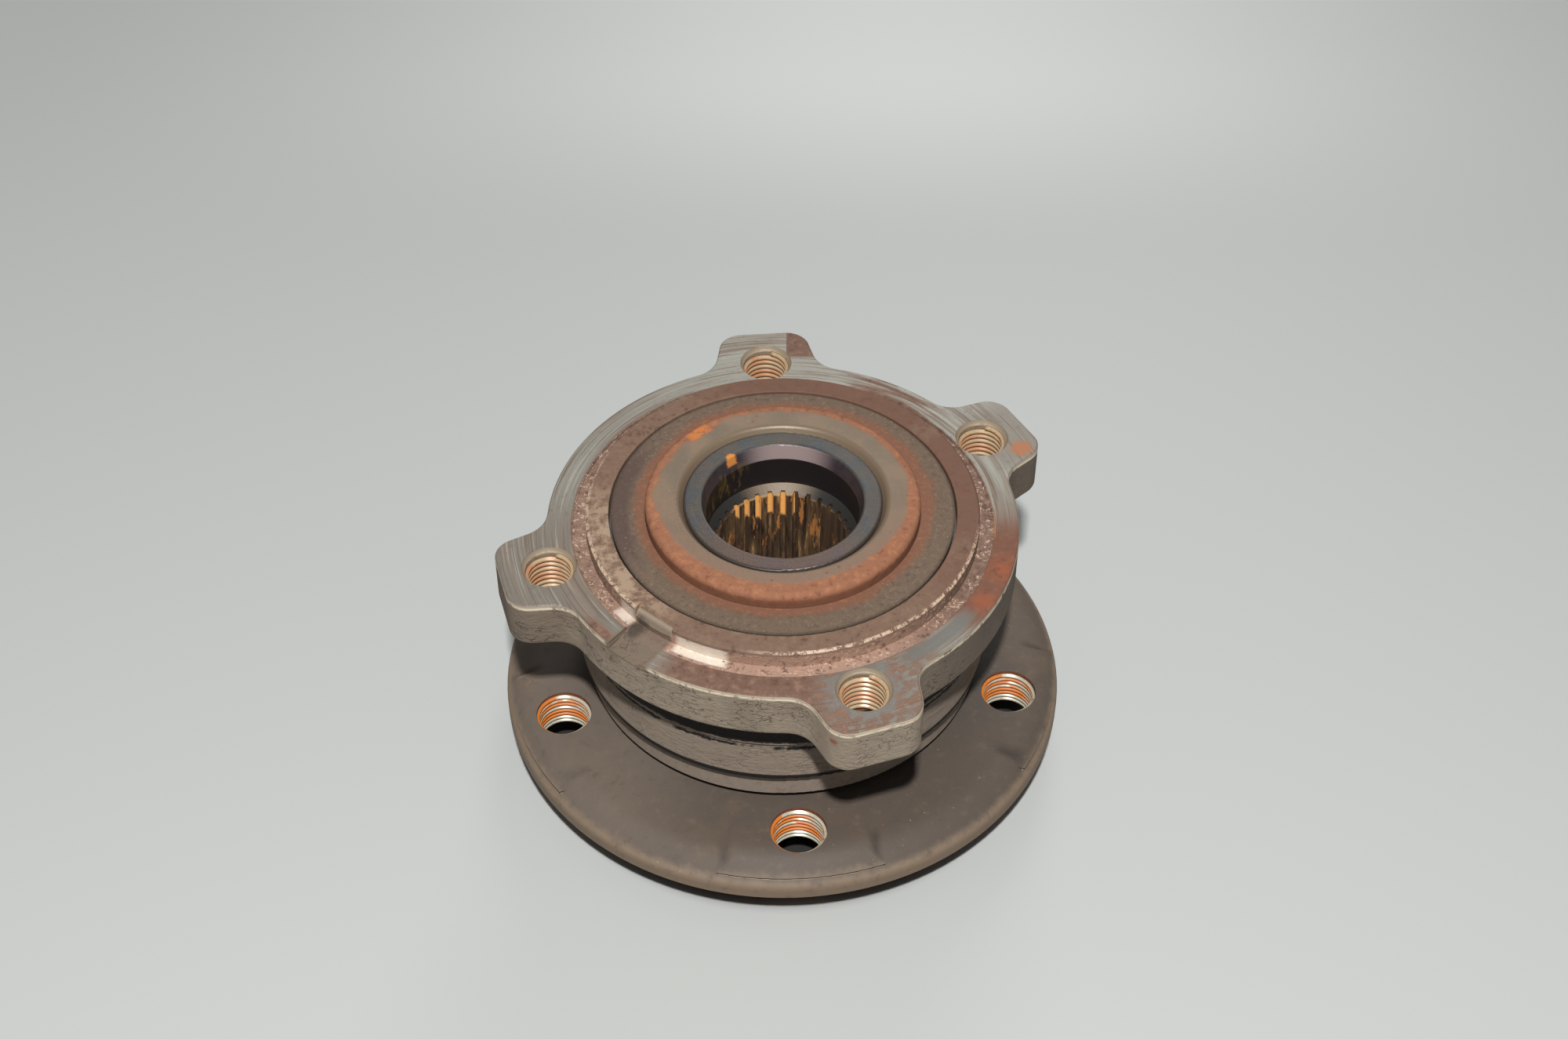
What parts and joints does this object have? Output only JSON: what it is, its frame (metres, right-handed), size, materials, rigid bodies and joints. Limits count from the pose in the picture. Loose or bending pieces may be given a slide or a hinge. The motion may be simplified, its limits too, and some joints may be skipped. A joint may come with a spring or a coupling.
{
  "type": "wheel hub bearing",
  "caption": "Driven wheel hub bearing with a splined bore, a wheel flange with threaded bolt holes and an outer ring with four threaded knuckle lugs.",
  "frame": {"origin": "centre of the flat face that the brake disc and the wheel are bolted against, on the axis of rotation", "axes": "+Z is the axis of rotation and points inboard, to the steering knuckle; +X and +Y lie in the disc face, with the four lugs at 30.5, 94.5, 196.5 and 288.8 degrees from +X"},
  "size_m": [0.1446, 0.1446, 0.0766],
  "materials": {
    "forged_hub": "forged steel, weathered dark grey-brown with light rust, bare at the machined edges",
    "outer_ring": "forged and turned steel, weathered grey-tan with rust patches and fine scratches",
    "inner_ring": "ground bearing steel, grey-tan with orange surface rust at its edge",
    "balls": "polished bearing steel",
    "cage": "glass-filled nylon, natural",
    "encoder": "magnetised rubber, dark and dusty with rust dust near the inner ring",
    "seal_steel": "thin pressed steel, plain",
    "seal_rubber": "nitrile rubber, matt",
    "slinger": "thin pressed steel, weathered"
  },
  "bodies": {
    "fixed_ring": {"outer_ring": "outer_ring", "inboard_seal_case": "seal_steel", "inboard_seal_lip": "seal_rubber", "outboard_seal_case": "seal_steel", "outboard_seal_lip": "seal_rubber"},
    "hub": {"wheel_hub": "forged_hub", "inner_ring": "inner_ring", "inboard_flinger": "seal_steel", "encoder_ring": "encoder", "outboard_slinger": "slinger"},
    "outboard_row": {"outboard_cage": "cage", "outboard_ball_01": "balls", "outboard_ball_02": "balls", "outboard_ball_03": "balls", "outboard_ball_04": "balls", "outboard_ball_05": "balls", "outboard_ball_06": "balls", "outboard_ball_07": "balls", "outboard_ball_08": "balls", "outboard_ball_09": "balls", "outboard_ball_10": "balls", "outboard_ball_11": "balls", "outboard_ball_12": "balls", "outboard_ball_13": "balls", "outboard_ball_14": "balls", "outboard_ball_15": "balls"},
    "inboard_row": {"inboard_cage": "cage", "inboard_ball_01": "balls", "inboard_ball_02": "balls", "inboard_ball_03": "balls", "inboard_ball_04": "balls", "inboard_ball_05": "balls", "inboard_ball_06": "balls", "inboard_ball_07": "balls", "inboard_ball_08": "balls", "inboard_ball_09": "balls", "inboard_ball_10": "balls", "inboard_ball_11": "balls", "inboard_ball_12": "balls", "inboard_ball_13": "balls", "inboard_ball_14": "balls", "inboard_ball_15": "balls"}
  },
  "joints": [
    {"name": "hub_spin", "type": "hinge", "parent": "fixed_ring", "child": "hub", "pos_m": [0, 0, 0], "axis": [0, 0, 1], "continuous": true},
    {"name": "outboard_row_spin", "type": "hinge", "parent": "fixed_ring", "child": "outboard_row", "pos_m": [0, 0, 0.0322], "axis": [0, 0, 1], "continuous": true},
    {"name": "inboard_row_spin", "type": "hinge", "parent": "fixed_ring", "child": "inboard_row", "pos_m": [0, 0, 0.0518], "axis": [0, 0, 1], "continuous": true}
  ],
  "couplings": [
    {"joint": "outboard_row_spin", "follows": "hub_spin", "ratio": 0.432},
    {"joint": "inboard_row_spin", "follows": "hub_spin", "ratio": 0.432}
  ]
}
